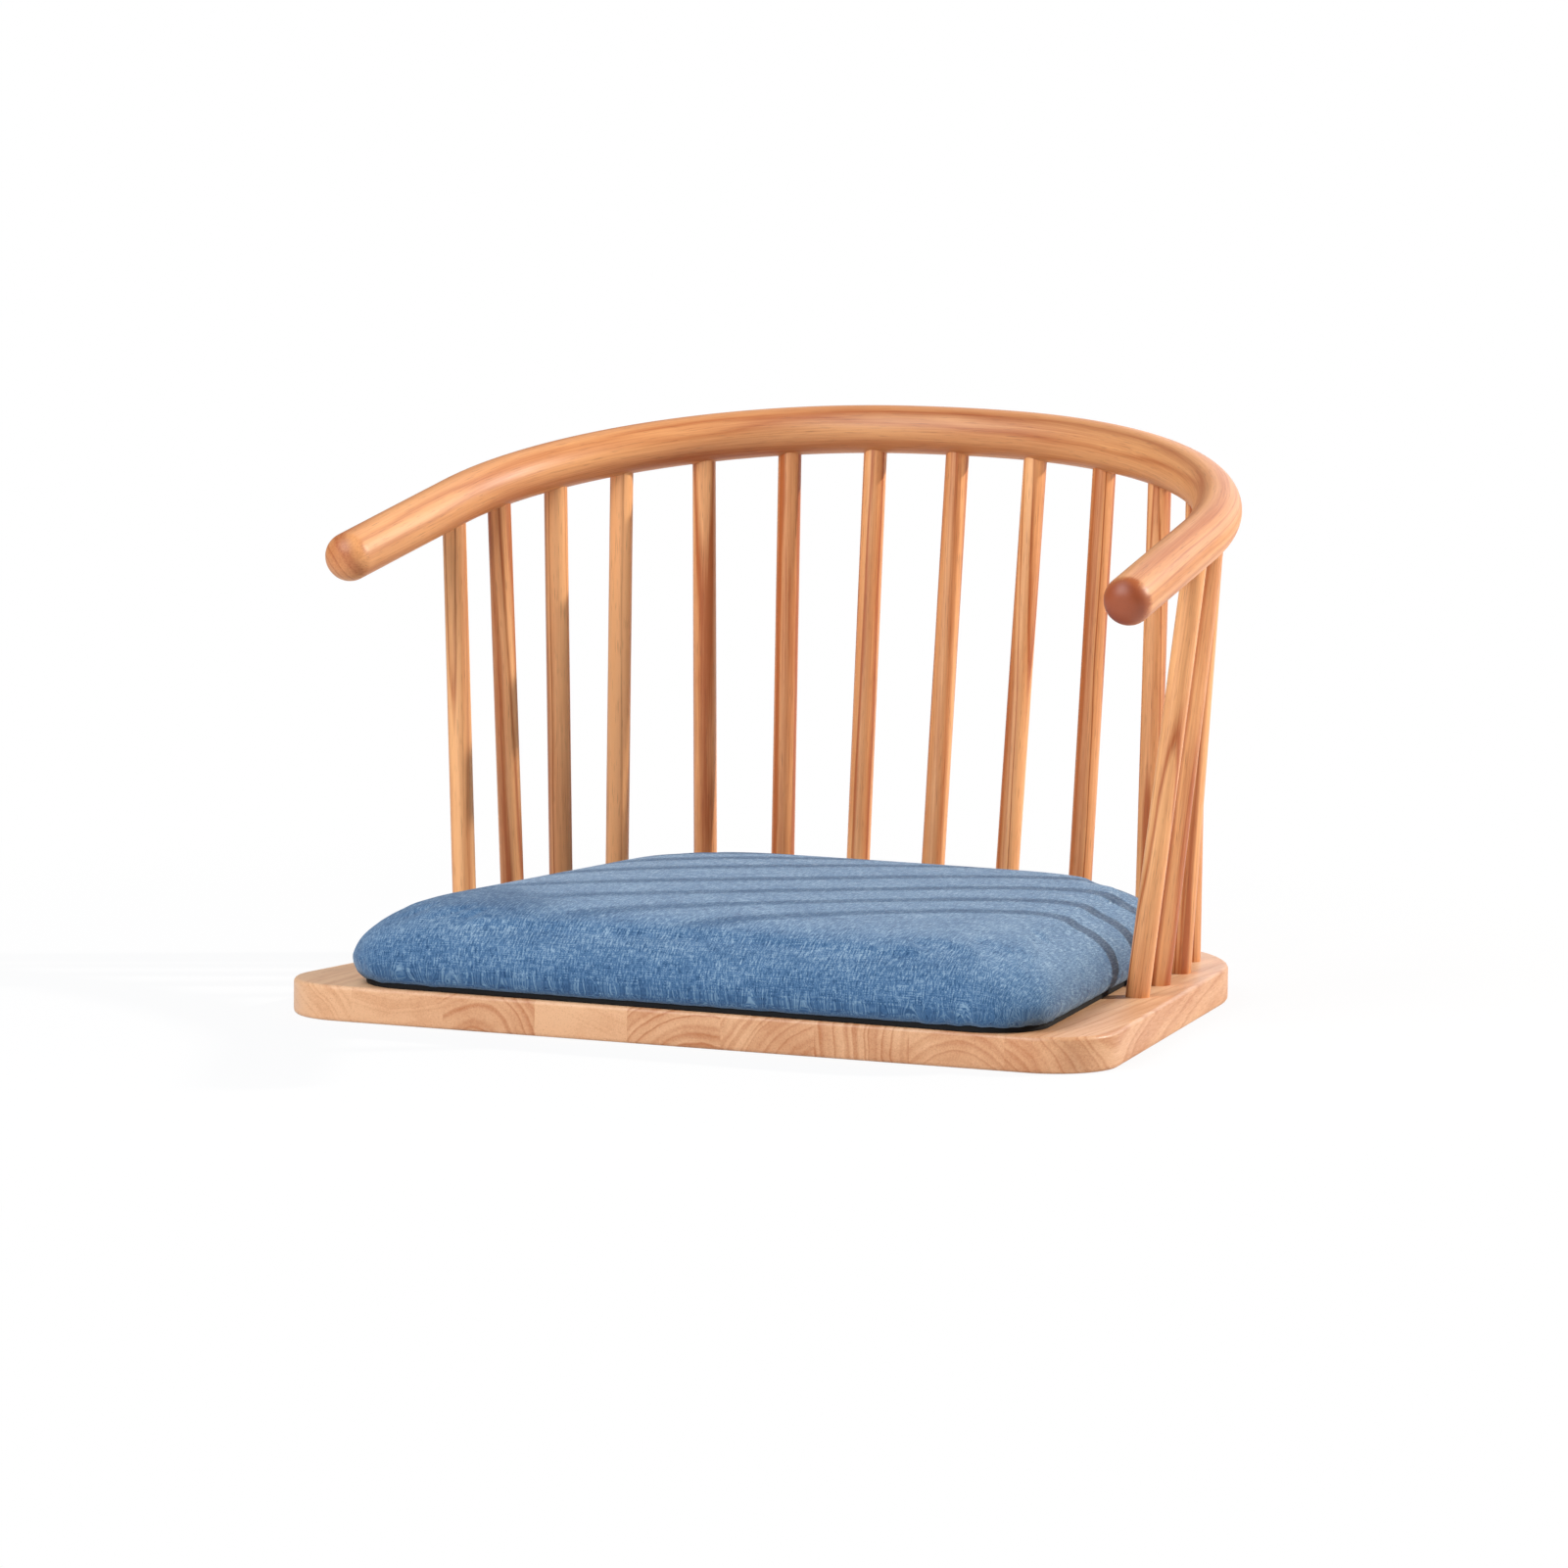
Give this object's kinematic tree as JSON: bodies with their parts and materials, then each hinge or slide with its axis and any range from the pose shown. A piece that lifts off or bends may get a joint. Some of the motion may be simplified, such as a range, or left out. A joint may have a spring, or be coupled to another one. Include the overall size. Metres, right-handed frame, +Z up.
{
  "type": "legless floor chair",
  "caption": "Legless floor chair: a round bent rail on splayed spindles makes the back and arms above a flat glued-up seat board, with a loose crowned upholstered pad.",
  "frame": {"origin": "middle of the seat board's flat underside, on the floor, halfway between the front edge and the middle of the rear edge", "axes": "+Z up; the sitter faces -Y; +X towards the sitter's left arm, which is the right-hand side seen from the front"},
  "size_m": [0.5922, 0.4865, 0.3815],
  "materials": {
    "rail_wood": "satin clear lacquer, warm orange-tan",
    "seat_wood": "satin clear lacquer, warm orange-tan",
    "spindle_wood": "satin clear lacquer, warm orange-tan",
    "pad_cloth": "woven slate-blue melange",
    "pad_foam": "open-cell foam",
    "pad_plywood": "raw plywood",
    "pad_felt": "black non-slip felt",
    "staple_steel": "galvanised wire"
  },
  "bodies": {
    "frame": {"bow_rail": "rail_wood", "seat_stave_1": "seat_wood", "seat_stave_2": "seat_wood", "seat_stave_3": "seat_wood", "seat_stave_4": "seat_wood", "seat_stave_5": "seat_wood", "seat_stave_6": "seat_wood", "seat_stave_7": "seat_wood", "seat_stave_8": "seat_wood", "seat_stave_9": "seat_wood", "spindle_01": "spindle_wood", "spindle_02": "spindle_wood", "spindle_03": "spindle_wood", "spindle_04": "spindle_wood", "spindle_05": "spindle_wood", "spindle_06": "spindle_wood", "spindle_07": "spindle_wood", "spindle_08": "spindle_wood", "spindle_09": "spindle_wood", "spindle_10": "spindle_wood", "spindle_11": "spindle_wood", "spindle_12": "spindle_wood", "spindle_13": "spindle_wood", "spindle_14": "spindle_wood", "spindle_15": "spindle_wood"},
    "pad": {"pad_cover": "pad_cloth", "pad_foam": "pad_foam", "pad_plywood": "pad_plywood", "pad_base_felt": "pad_felt", "pad_staples": "staple_steel"}
  },
  "joints": [
    {"name": "pad_lift", "type": "slide", "parent": "frame", "child": "pad", "axis": [0, 0, 1], "range_m": [0, 0.4]}
  ]
}
